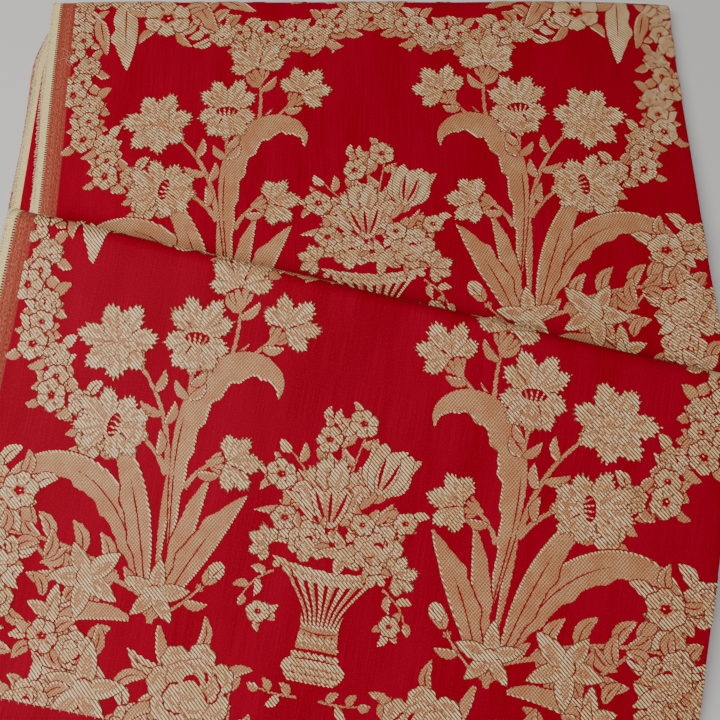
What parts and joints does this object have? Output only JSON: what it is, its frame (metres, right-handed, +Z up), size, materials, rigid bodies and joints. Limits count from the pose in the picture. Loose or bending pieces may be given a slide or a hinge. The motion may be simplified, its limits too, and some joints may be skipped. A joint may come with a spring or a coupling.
{
  "type": "folded brocade panel",
  "caption": "Figured furnishing cloth folded lengthwise and back and forth into a low pile, its top flap folded back askew, for dressing a table, shelf or shop display.",
  "frame": {"origin": "centre of the footprint, on the surface that the folded cloth lies on", "axes": "+Z up, -Y toward the hem of the flap and the viewer, +X toward the lengthwise fold"},
  "size_m": [0.4054, 0.4546, 0.0365],
  "materials": {
    "cloth": "red satin ground with a raised cream and gold figure"
  },
  "bodies": {
    "root": {"brocade_cloth": "cloth"}
  },
  "joints": []
}
